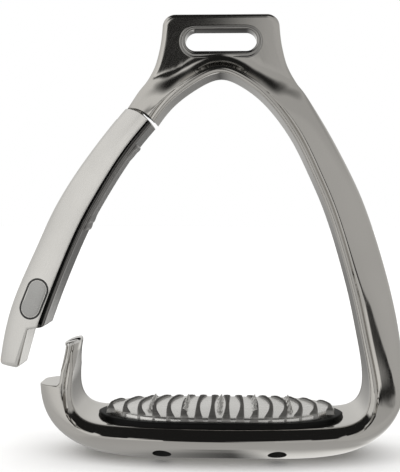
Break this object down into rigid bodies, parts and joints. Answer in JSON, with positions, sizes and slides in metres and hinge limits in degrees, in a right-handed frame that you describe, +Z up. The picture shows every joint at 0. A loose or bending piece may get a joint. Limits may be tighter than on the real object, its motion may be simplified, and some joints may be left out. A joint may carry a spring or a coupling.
{
  "type": "stirrup iron",
  "caption": "Safety stirrup iron: a foot loop with a strap eye and a gripping tread, whose outer arm swings open on a hinge and rests on a short post.",
  "frame": {"origin": "centre of the flat underside, below the middle of the tread", "axes": "+Z up to the strap eye, +X towards the fixed branch, -Y the front; the swinging arm is on the -X side"},
  "size_m": [0.1678, 0.0602, 0.1814],
  "materials": {
    "frame_metal": "polished warm grey with fine brush marks",
    "liner_metal": "polished ring",
    "pad_metal": "bright stamped metal",
    "rib_metal": "satin, serrated",
    "gasket_rubber": "matte black",
    "screw_steel": "dark machined steel",
    "latch_metal": "bright satin",
    "magnet": "nickel-plated",
    "bush_bronze": "turned bronze",
    "arm_metal": "light satin grey",
    "arm_strip": "darker satin grey",
    "insert_metal": "satin grey",
    "strike_dark": "dark mating pad",
    "badge_face": "plain satin inlay",
    "badge_rim": "dark outline ring"
  },
  "bodies": {
    "frame": {"frame": "frame_metal", "eye_liner": "liner_metal", "latch_plate": "latch_metal", "post_magnet": "magnet", "hinge_bush": "bush_bronze", "pad_gasket": "gasket_rubber", "tread_pad": "pad_metal", "tread_ribs": "rib_metal", "tread_spikes": "pad_metal", "tread_screws": "screw_steel"},
    "arm": {"arm_shell": "arm_metal", "arm_liner": "arm_strip", "arm_insert": "insert_metal", "arm_strike_plate": "strike_dark", "arm_magnet": "magnet", "badge_plate": "badge_face", "badge_bezel": "badge_rim", "hinge_pin": "screw_steel", "hinge_grub": "screw_steel"}
  },
  "joints": [
    {"name": "arm_hinge", "type": "hinge", "parent": "frame", "child": "arm", "pos_m": [-0.0379, 0, 0.1375], "axis": [0, 1, 0], "range_deg": [-9.2, 60]}
  ]
}
